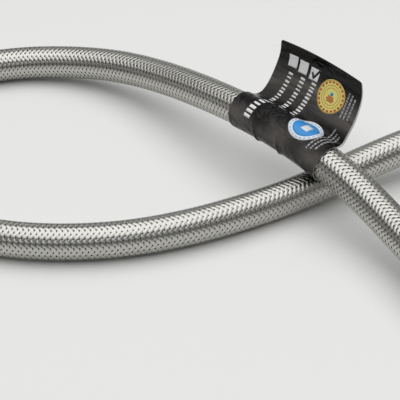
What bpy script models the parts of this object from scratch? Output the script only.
"""Flexible water supply hose, 600 mm long from nut to nut, lying in one loop on a flat surface.

A rubber liner inside a stainless steel wire braid is crimped onto a barbed nipple at each end.
A free-turning G1/2 nut hangs on each nipple behind its flange, with a flat washer in front of it.
A black film size label is wrapped once round the hose and ends in a free flap with two stickers.

Metres, +Z up, the surface it lies on is at Z = 0, the origin is under the middle of its box.
"""

import math

import bmesh
import bpy
import numpy as np
from mathutils import Matrix

# Clearance kept between pieces that touch on the real hose
CLEARANCE = 0.0003

# Hose
HOSE_OD = 0.0120
BRAID_WALL = 0.0004
LINER_WALL = 0.0012
HOSE_SIDES_RESOLUTION = 4
HOSE_SEGMENTS = 52

# Barbed nipple
NIPPLE_BORE = 0.0060
BARB_COUNT = 4
BARB_DEPTH = 0.00030
BARB_PITCH = 0.0042
TAIL_CHAMFER = 0.0005
COLLAR_DIAMETER = 0.0108
COLLAR_LENGTH = 0.0014
NECK_DIAMETER = 0.0092
FLANGE_GAP = 0.0006
FLANGE_THICKNESS = 0.0022
FLANGE_EDGE = 0.0003

# Crimp ferrule
FERRULE_LENGTH = 0.0240
FERRULE_WALL = 0.0007
FERRULE_LIP = 0.0010
FERRULE_ROLL = 0.0004
FERRULE_SHOULDER = 0.0012
CRIMP_JAWS = 8
CRIMP_DEPTH = 0.00030
CRIMP_LENGTH = 0.0060
CRIMP_STARTS = (0.0035, 0.0125)

# Swivel nut, G1/2: 20.955 mm thread crest diameter, 18.631 mm bore through the thread
THREAD_MAJOR = 0.020955
THREAD_MINOR = 0.018631
NUT_ACROSS_FLATS = 0.0240
NUT_LENGTH = 0.0155
NUT_BACK_WALL = 0.0030
NUT_COLLAR_DIAMETER = 0.0206
NUT_COLLAR_LENGTH = 0.0025
NUT_FACE_SHARE = 0.95
NUT_CHAMFER_ANGLE = math.radians(30)
NUT_EDGE = 0.0004
NUT_PLAY = 0.0010

# Sealing washer
WASHER_THICKNESS = 0.0020
WASHER_BORE = 0.0104
WASHER_EDGE = 0.00025

# Size label: film wrapped round the hose from WRAP_START down, round and up to WRAP_END
FILM = 0.0003
LABEL_START = 0.0535
LABEL_WIDTH = 0.0415
WRAP_START = math.radians(20)
WRAP_END = math.radians(55 - 360)
WRAP_STEPS = 22
FLAP_STEPS = 14
FLAP_CORNER = 0.0016
FLAP_NEAR_TAPER = 0.0030
FLAP_FAR_TAPER = 0.0025

# Round stickers: middle from the label's near edge, and up the flap from where it leaves the wrap
SEAL_RADIUS = 0.0057
SEAL_PLACE = (0.0129, 0.0136)
BADGE_RADIUS = 0.0060
BADGE_PLACE = (0.0123, -0.0027)
STICKER_FILM = 0.0002

TURNED_STEPS = 32
NIPPLE_STEPS = 20

# Places worked out from the sizes above
liner_od = HOSE_OD - 2 * (BRAID_WALL + CLEARANCE)
liner_bore = liner_od - 2 * LINER_WALL
ferrule_bore = HOSE_OD + 2 * CLEARANCE
ferrule_od = ferrule_bore + 2 * FERRULE_WALL
collar_end = FERRULE_LENGTH - FERRULE_LIP - CLEARANCE
hose_insert = collar_end - COLLAR_LENGTH - CLEARANCE
nut_back = FERRULE_LENGTH + NUT_PLAY
flange_start = nut_back + NUT_BACK_WALL + CLEARANCE
flange_end = flange_start + FLANGE_THICKNESS
washer_start = flange_end + CLEARANCE
nut_mouth = nut_back + NUT_LENGTH
wrap_radius = HOSE_OD / 2 + CLEARANCE + FILM / 2

# Heights of the hose's centre line: lying on the surface, lifted by a nut, over the crossing
floor = HOSE_OD / 2
nut_lift = NUT_ACROSS_FLATS / 2 - floor
crossing = HOSE_OD / 2 + CLEARANCE + wrap_radius + FILM / 2

# Centre line from the mouth of ferrule A to the mouth of ferrule B
ROUTE = [
    (0.0275, -0.0755, floor + nut_lift),
    (0.0275, -0.0575, floor + 1.17 * nut_lift),
    (0.0260, -0.0390, floor + 0.78 * crossing),
    (0.0215, -0.0170, floor + 1.09 * crossing),
    (0.0165, 0.0040, floor + 1.20 * crossing),
    (0.0125, 0.0220, floor + 1.10 * crossing),
    (0.0085, 0.0410, floor + 0.89 * crossing),
    (0.0035, 0.0615, floor + 0.60 * crossing),
    (-0.0045, 0.0800, floor + 0.35 * crossing),
    (-0.0180, 0.0965, floor + 0.12 * crossing),
    (-0.0385, 0.1075, floor + 0.02 * crossing),
    (-0.0595, 0.1090, floor),
    (-0.0805, 0.1015, floor),
    (-0.0965, 0.0860, floor),
    (-0.1045, 0.0660, floor),
    (-0.1040, 0.0435, floor),
    (-0.0960, 0.0235, floor),
    (-0.0820, 0.0070, floor),
    (-0.0635, -0.0055, floor),
    (-0.0430, -0.0135, floor),
    (-0.0230, -0.0170, floor),
    (0.0045, -0.0175, floor),
    (0.0165, -0.0170, floor + 0.08 * nut_lift),
    (0.0460, -0.0165, floor + 0.68 * nut_lift),
    (0.0710, -0.0165, floor + nut_lift),
]

# Each end: where its ferrule's mouth is, and the way that its nut points, as an angle from +X
ENDS = {
    "a": (ROUTE[0], math.radians(-90)),
    "b": (ROUTE[-1], math.radians(0)),
}

# Free flap in the plane across the hose, out from its axis and up, at the label's two ends
FLAP_NEAR = [
    (0.0052, 0.0050),
    (0.0070, 0.0072),
    (0.0095, 0.0120),
    (0.0114, 0.0166),
    (0.0129, 0.0210),
    (0.0134, 0.0257),
]
FLAP_FAR = [
    (0.0060, 0.0039),
    (0.0086, 0.0037),
    (0.0113, 0.0053),
    (0.0137, 0.0082),
    (0.0161, 0.0128),
    (0.0171, 0.0168),
    (0.0165, 0.0216),
]


def clear_scene():
    for obj in list(bpy.data.objects):
        bpy.data.objects.remove(obj, do_unlink=True)


def collection(name):
    made = bpy.data.collections.new(name)
    bpy.context.scene.collection.children.link(made)
    return made


def material(name, color, roughness, metallic):
    made = bpy.data.materials.new(name)
    made.use_nodes = True
    shader = made.node_tree.nodes["Principled BSDF"]
    shader.inputs["Base Color"].default_value = (*color, 1.0)
    shader.inputs["Roughness"].default_value = roughness
    shader.inputs["Metallic"].default_value = metallic
    return made


def smooth_curve(points, start_direction, end_direction, steps):
    """Points on the cubic curve through the given ones, even in speed, with these end directions."""
    points = np.array(points, float)
    spans = np.linalg.norm(np.diff(points, axis=0), axis=1)
    slopes = np.diff(points, axis=0) / spans[:, None]
    count = len(points)
    system = np.zeros((count, count))
    right = np.zeros_like(points)
    system[0, 0] = system[-1, -1] = 1.0
    right[0] = start_direction
    right[-1] = end_direction
    for i in range(1, count - 1):
        before, after = spans[i - 1], spans[i]
        system[i, i - 1 : i + 2] = after, 2 * (before + after), before
        right[i] = 3 * (after * slopes[i - 1] + before * slopes[i])
    tangents = np.linalg.solve(system, right)
    curve = [points[0]]
    for i in range(count - 1):
        for t in np.arange(1, steps + 1) / steps:
            curve.append(
                (1 + 2 * t) * (1 - t) ** 2 * points[i]
                + t * (1 - t) ** 2 * spans[i] * tangents[i]
                + t * t * (3 - 2 * t) * points[i + 1]
                - t * t * (1 - t) * spans[i] * tangents[i + 1]
            )
    return np.array(curve)


def lengths_along(curve):
    return np.append(0.0, np.cumsum(np.linalg.norm(np.diff(curve, axis=0), axis=1)))


def at_length(curve, places):
    """Points of a curve at these distances from its start."""
    along = lengths_along(curve)
    return np.stack([np.interp(places, along, axis) for axis in curve.T], axis=1)


def even_points(curve, count):
    return at_length(curve, np.linspace(0.0, lengths_along(curve)[-1], count))


def outward_direction(end):
    """The way out along an end's fitting."""
    angle = ENDS[end][1]
    return np.array([math.cos(angle), math.sin(angle), 0.0])


def hose_route():
    """Centre line between the ferrules, nowhere lower than where the hose lies."""
    route = smooth_curve(ROUTE, -outward_direction("a"), outward_direction("b"), 40)
    route[:, 2] = np.maximum(route[:, 2], floor)
    return route


def hose_path():
    """Centre line of the hose itself, with the straight ends inside the ferrules."""
    route = hose_route()
    start = route[0] + hose_insert * outward_direction("a")
    end = route[-1] + hose_insert * outward_direction("b")
    return even_points(np.vstack([start, route, end]), HOSE_SEGMENTS + 1)


def shade(obj, angle=math.radians(35)):
    obj.data.shade_smooth()
    obj.data.set_sharp_from_angle(angle=angle)


def hose_tube(name, outside_diameter, wall, finish, parts):
    """An open round tube along the hose's path, given its wall inwards."""
    curve = bpy.data.curves.new(name, "CURVE")
    curve.dimensions = "3D"
    curve.bevel_depth = outside_diameter / 2
    curve.bevel_resolution = HOSE_SIDES_RESOLUTION
    spline = curve.splines.new("POLY")
    path = hose_path()
    spline.points.add(len(path) - 1)
    for point, place in zip(spline.points, path):
        point.co = (*place, 1.0)
    guide = bpy.data.objects.new(name + "_guide", curve)
    parts.objects.link(guide)
    graph = bpy.context.evaluated_depsgraph_get()
    mesh = bpy.data.meshes.new_from_object(guide.evaluated_get(graph))
    bpy.data.objects.remove(guide, do_unlink=True)
    tube = bpy.data.objects.new(name, mesh)
    parts.objects.link(tube)
    mesh.materials.clear()
    mesh.materials.append(finish)
    shade(tube)
    solidify = tube.modifiers.new("wall", "SOLIDIFY")
    solidify.thickness = wall
    solidify.offset = -1.0
    return tube


def turned(name, profile, steps, finish, group):
    """A ring turned about its own Z from a closed profile that runs down its outer side."""
    mesh = bpy.data.meshes.new(name)
    shape = bmesh.new()
    corners = [shape.verts.new((radius, 0.0, height)) for radius, height in profile]
    for first, second in zip(corners, corners[1:] + corners[:1]):
        shape.edges.new((first, second))
    shape.to_mesh(mesh)
    shape.free()
    obj = bpy.data.objects.new(name, mesh)
    group.objects.link(obj)
    if finish:
        mesh.materials.append(finish)
    screw = obj.modifiers.new("turn", "SCREW")
    screw.steps = steps
    screw.render_steps = steps
    screw.use_merge_vertices = True
    screw.merge_threshold = 0.00001
    screw.use_smooth_shade = True
    return obj


def boolean(obj, operation, other):
    modifier = obj.modifiers.new(other.name, "BOOLEAN")
    modifier.operation = operation
    modifier.object = other
    modifier.solver = "EXACT"


def as_cutter(obj):
    obj.hide_render = True
    obj.display_type = "WIRE"
    return obj


def seat(obj, holder, along):
    """Puts a piece on a fitting's axis, this far from the ferrule's mouth."""
    obj.parent = holder
    obj.location = (0.0, 0.0, along)
    return obj


def fitting_axis(end, parts):
    """The empty at a ferrule's mouth, its +Z out along the fitting and its +Y up."""
    place, angle = ENDS[end]
    holder = bpy.data.objects.new("fitting_" + end, None)
    holder.empty_display_size = 0.01
    holder.location = place
    holder.rotation_euler = (math.radians(90), 0.0, angle + math.radians(90))
    parts.objects.link(holder)
    return holder


def nipple(end, holder, finish, parts):
    """Barbed tail, collar that stops the hose, neck that the nut turns on, and seal flange."""
    side_share = math.cos(math.pi / (4 + 2 * HOSE_SIDES_RESOLUTION))
    crest = liner_bore / 2 * side_share - CLEARANCE
    root = crest - BARB_DEPTH
    bore = NIPPLE_BORE / 2
    neck = NECK_DIAMETER / 2
    flange = THREAD_MINOR / 2 - FLANGE_GAP
    collar_start = collar_end - COLLAR_LENGTH
    tail_start = collar_start - CLEARANCE - BARB_COUNT * BARB_PITCH
    profile = [
        (flange - FLANGE_EDGE, flange_end),
        (flange, flange_end - FLANGE_EDGE),
        (flange, flange_start + FLANGE_EDGE),
        (flange - FLANGE_EDGE, flange_start),
        (neck, flange_start),
        (neck, collar_end),
        (COLLAR_DIAMETER / 2, collar_end),
        (COLLAR_DIAMETER / 2, collar_start),
        (root, collar_start),
    ]
    for index in reversed(range(BARB_COUNT)):
        foot = tail_start + index * BARB_PITCH
        profile += [(root, foot + 0.80 * BARB_PITCH), (crest, foot + 0.72 * BARB_PITCH)]
        if index:
            profile.append((root, foot))
    profile += [
        (root, tail_start),
        (root - 0.5 * BARB_DEPTH, tail_start - TAIL_CHAMFER),
        (bore, tail_start - TAIL_CHAMFER),
        (bore, flange_end),
    ]
    profile = [(radius, along - flange_start) for radius, along in profile]
    return seat(turned("nipple_" + end, profile, NIPPLE_STEPS, finish, parts), holder, flange_start)


def crimp_cutter(end, holder, cutters):
    """Two eight-sided rings: their inner flats press the crimp bands into the ferrule."""
    flat = ferrule_od / 2 - CRIMP_DEPTH
    inner = flat / math.cos(math.pi / CRIMP_JAWS)
    outer = ferrule_od / 2 + 2 * FERRULE_WALL
    rings = []
    for index, start in enumerate(CRIMP_STARTS):
        stop = start + CRIMP_LENGTH
        profile = [(outer, stop), (outer, start), (inner, start), (inner, stop)]
        ring = turned(f"crimp_{index + 1}_{end}", profile, CRIMP_JAWS, None, cutters)
        rings.append(seat(as_cutter(ring), holder, 0.0))
    return rings


def ferrule(end, holder, finish, parts, cutters):
    """Sleeve with a rolled mouth, crimp bands and an inward lip that grips the nipple's neck."""
    outer = ferrule_od / 2
    inner = ferrule_bore / 2
    hole = NECK_DIAMETER / 2 + CLEARANCE
    profile = [
        (outer - FERRULE_SHOULDER, FERRULE_LENGTH),
        (outer - 0.3 * FERRULE_SHOULDER, FERRULE_LENGTH - 0.3 * FERRULE_SHOULDER),
        (outer, FERRULE_LENGTH - FERRULE_SHOULDER),
        (outer, 3 * FERRULE_ROLL),
        (outer + FERRULE_ROLL, 2 * FERRULE_ROLL),
        (outer + FERRULE_ROLL, FERRULE_ROLL),
        (outer, 0.0),
        (inner + FERRULE_ROLL, 0.0),
        (inner, 2 * FERRULE_ROLL),
        (inner, FERRULE_LENGTH - FERRULE_LIP),
        (hole, FERRULE_LENGTH - FERRULE_LIP),
        (hole, FERRULE_LENGTH),
    ]
    sleeve = turned("crimp_ferrule_" + end, profile, TURNED_STEPS, finish, parts)
    seat(sleeve, holder, 0.0)
    for ring in crimp_cutter(end, holder, cutters):
        boolean(sleeve, "DIFFERENCE", ring)
    return sleeve


def hexagon(end, holder, cutters):
    """Hexagonal bar that gives the nut its flats, two of them level."""
    mesh = bpy.data.meshes.new("nut_hexagon_" + end)
    shape = bmesh.new()
    radius = NUT_ACROSS_FLATS / 2 / math.cos(math.pi / 6)
    bmesh.ops.create_cone(
        shape, cap_ends=True, segments=6, radius1=radius, radius2=radius, depth=3 * NUT_LENGTH
    )
    bmesh.ops.rotate(shape, verts=shape.verts, matrix=Matrix.Rotation(math.pi / 6, 3, "Z"))
    shape.to_mesh(mesh)
    shape.free()
    bar = bpy.data.objects.new(mesh.name, mesh)
    cutters.objects.link(bar)
    return seat(as_cutter(bar), holder, nut_back + NUT_LENGTH / 2)


def swivel_nut(end, holder, finish, parts, cutters):
    """Hexagon nut with a round back collar, open to the thread's bore in front."""
    corner = NUT_ACROSS_FLATS / 2 / math.cos(math.pi / 6) + NUT_EDGE
    face = NUT_FACE_SHARE * NUT_ACROSS_FLATS / 2
    slope = (corner - face) * math.tan(NUT_CHAMFER_ANGLE)
    collar = NUT_COLLAR_DIAMETER / 2
    hole = NECK_DIAMETER / 2 + 2 * CLEARANCE
    socket = THREAD_MINOR / 2
    mouth = THREAD_MAJOR / 2
    lead_in = mouth - socket
    profile = [
        (face, NUT_LENGTH),
        (corner, NUT_LENGTH - slope),
        (corner, NUT_COLLAR_LENGTH + slope),
        (face, NUT_COLLAR_LENGTH),
        (collar, NUT_COLLAR_LENGTH),
        (collar, NUT_EDGE),
        (collar - NUT_EDGE, 0.0),
        (hole, 0.0),
        (hole, NUT_BACK_WALL),
        (socket, NUT_BACK_WALL),
        (socket, NUT_LENGTH - lead_in),
        (mouth, NUT_LENGTH),
    ]
    nut = turned("swivel_nut_" + end, profile, TURNED_STEPS, finish, parts)
    seat(nut, holder, nut_back)
    boolean(nut, "INTERSECT", hexagon(end, holder, cutters))
    return nut


def washer(end, holder, finish, parts):
    """Flat rubber ring that lies on the flange, inside the nut."""
    outer = THREAD_MINOR / 2 - CLEARANCE
    inner = WASHER_BORE / 2
    profile = [
        (outer - WASHER_EDGE, WASHER_THICKNESS),
        (outer, WASHER_THICKNESS - WASHER_EDGE),
        (outer, WASHER_EDGE),
        (outer - WASHER_EDGE, 0.0),
        (inner, 0.0),
        (inner, WASHER_THICKNESS),
    ]
    ring = turned("sealing_washer_" + end, profile, TURNED_STEPS, finish, parts)
    return seat(ring, holder, washer_start)


def label_frames(places):
    """Centre, outward and upward directions across the hose at these distances along it."""
    route = hose_route()
    step = 0.001
    centre = at_length(route, places)
    along = at_length(route, places + step) - at_length(route, places - step)
    along /= np.linalg.norm(along, axis=1)[:, None]
    outward = np.cross(along, (0.0, 0.0, 1.0))
    outward /= np.linalg.norm(outward, axis=1)[:, None]
    return centre, outward, np.cross(outward, along)


def label_section(flap):
    """The film's middle line across the hose: once round it, then out along the flap."""
    turns = np.linspace(WRAP_START, WRAP_END, WRAP_STEPS + 1)
    wrap = wrap_radius * np.stack([np.cos(turns), np.sin(turns)], axis=1)
    leave = np.array([math.sin(WRAP_END), -math.cos(WRAP_END)])
    last = np.array(flap[-1]) - np.array(flap[-2])
    curve = smooth_curve([wrap[-1], *flap], leave, last / np.linalg.norm(last), 12)
    return wrap, curve


def label_points(across, up, lift=0.0):
    """Points of the label, across its width and up its flap as shares, lifted off its outer face.

    Below up = 0 they lie on the wrap, where -1 is its hidden edge.
    """
    sections = [label_section(flap) for flap in (FLAP_NEAR, FLAP_FAR)]
    plane = []
    for wrap, curve in sections:
        line = np.vstack([even_points(wrap, 200), even_points(curve, 200)[1:]])
        shares = np.append(np.linspace(-1, 0, 200), np.linspace(0, 1, 200)[1:])
        ahead = np.gradient(line, axis=0)
        ahead /= np.linalg.norm(ahead, axis=1)[:, None]
        outer = np.stack([-ahead[:, 1], ahead[:, 0]], axis=1)
        lifted = line + lift * outer
        plane.append(np.stack([np.interp(up, shares, axis) for axis in lifted.T], axis=-1))
    blend = across[..., None]
    flat = (1 - blend) * plane[0] + blend * plane[1]
    centre, outward, upward = label_frames(LABEL_START + LABEL_WIDTH * across.ravel())
    flat = flat.reshape(-1, 2)
    return centre + flat[:, :1] * outward + flat[:, 1:] * upward


def film(name, grid, thickness, finish, parts):
    """A closed film of this thickness about a grid of points, rows by columns."""
    rows, columns = grid.shape[:2]
    mesh = bpy.data.meshes.new(name)
    shape = bmesh.new()
    corners = [[shape.verts.new(point) for point in row] for row in grid]
    for i in range(rows - 1):
        for j in range(columns - 1):
            around = (corners[i][j], corners[i + 1][j], corners[i + 1][j + 1], corners[i][j + 1])
            shape.faces.new(around)
    shape.to_mesh(mesh)
    shape.free()
    sheet = bpy.data.objects.new(name, mesh)
    parts.objects.link(sheet)
    mesh.materials.append(finish)
    shade(sheet)
    solidify = sheet.modifiers.new("film", "SOLIDIFY")
    solidify.thickness = thickness
    solidify.offset = 0.0
    return sheet


def size_label(finish, parts):
    """The film: the flap narrows to its top, and close columns round off its two corners."""
    corner = FLAP_CORNER / LABEL_WIDTH
    near = corner * np.array([0.0, 0.15, 0.5, 1.0])
    columns = np.concatenate([near[:-1], np.linspace(corner, 1 - corner, 10), 1 - near[-2::-1]])
    flap_length = lengths_along(label_section(FLAP_NEAR)[1])[-1]
    inset = np.clip(1 - np.minimum(columns, 1 - columns) / corner, 0.0, 1.0)
    tips = 1 - FLAP_CORNER * (1 - np.sqrt(1 - inset**2)) / flap_length
    rows = []
    for step in np.linspace(-1.0, 0.0, WRAP_STEPS + 1):
        rows.append(label_points(columns, np.full_like(columns, step)))
    for step in np.arange(1, FLAP_STEPS + 1) / FLAP_STEPS:
        near_edge = FLAP_NEAR_TAPER / LABEL_WIDTH * step**3
        far_edge = 1 - FLAP_FAR_TAPER / LABEL_WIDTH * step**3
        rows.append(label_points(near_edge + (far_edge - near_edge) * columns, step * tips))
    return film("size_label", np.array(rows), FILM, finish, parts)


def sticker(name, place, radius, finish, parts):
    """A round film laid on the label's outer face, bent as the label is."""
    flap_length = lengths_along(label_section(FLAP_NEAR)[1])[-1]
    wrap_length = wrap_radius * (WRAP_START - WRAP_END)
    mesh = bpy.data.meshes.new(name)
    shape = bmesh.new()
    bmesh.ops.create_grid(shape, x_segments=8, y_segments=8, size=1.0)
    square = np.array([corner.co[:2] for corner in shape.verts])
    across = place[0] + radius * square[:, 0] * np.sqrt(1 - square[:, 1] ** 2 / 2)
    up = place[1] + radius * square[:, 1] * np.sqrt(1 - square[:, 0] ** 2 / 2)
    up = np.where(up < 0, up / wrap_length, up / flap_length)
    lift = FILM / 2 + CLEARANCE + STICKER_FILM / 2
    for corner, point in zip(shape.verts, label_points(across / LABEL_WIDTH, up, lift)):
        corner.co = point
    bmesh.ops.recalc_face_normals(shape, faces=shape.faces)
    shape.to_mesh(mesh)
    shape.free()
    disc = bpy.data.objects.new(name, mesh)
    parts.objects.link(disc)
    mesh.materials.append(finish)
    shade(disc)
    solidify = disc.modifiers.new("film", "SOLIDIFY")
    solidify.thickness = STICKER_FILM
    solidify.offset = 0.0
    return disc


def main():
    clear_scene()
    parts = collection("flexible_water_hose")
    cutters = collection("cutters")
    steel_braid = material("steel_braid", (0.62, 0.61, 0.59), 0.32, 1.0)
    liner_rubber = material("liner_rubber", (0.03, 0.03, 0.03), 0.70, 0.0)
    pressed_steel = material("pressed_steel", (0.66, 0.66, 0.65), 0.28, 1.0)
    nickel = material("nickel_plated_brass", (0.70, 0.68, 0.63), 0.20, 1.0)
    brass = material("brass", (0.72, 0.56, 0.28), 0.30, 1.0)
    washer_rubber = material("washer_rubber", (0.05, 0.05, 0.05), 0.65, 0.0)
    black_film = material("black_film", (0.03, 0.028, 0.028), 0.30, 0.0)
    gold_film = material("gold_film", (0.78, 0.62, 0.22), 0.35, 0.6)
    blue_film = material("blue_film", (0.05, 0.28, 0.72), 0.35, 0.0)

    hose_tube("braid_sleeve", HOSE_OD, BRAID_WALL, steel_braid, parts)
    hose_tube("liner_tube", liner_od, LINER_WALL, liner_rubber, parts)
    for end in ENDS:
        holder = fitting_axis(end, parts)
        nipple(end, holder, brass, parts)
        ferrule(end, holder, pressed_steel, parts, cutters)
        swivel_nut(end, holder, nickel, parts, cutters)
        washer(end, holder, washer_rubber, parts)
    size_label(black_film, parts)
    sticker("seal_sticker", SEAL_PLACE, SEAL_RADIUS, gold_film, parts)
    sticker("badge_sticker", BADGE_PLACE, BADGE_RADIUS, blue_film, parts)


main()
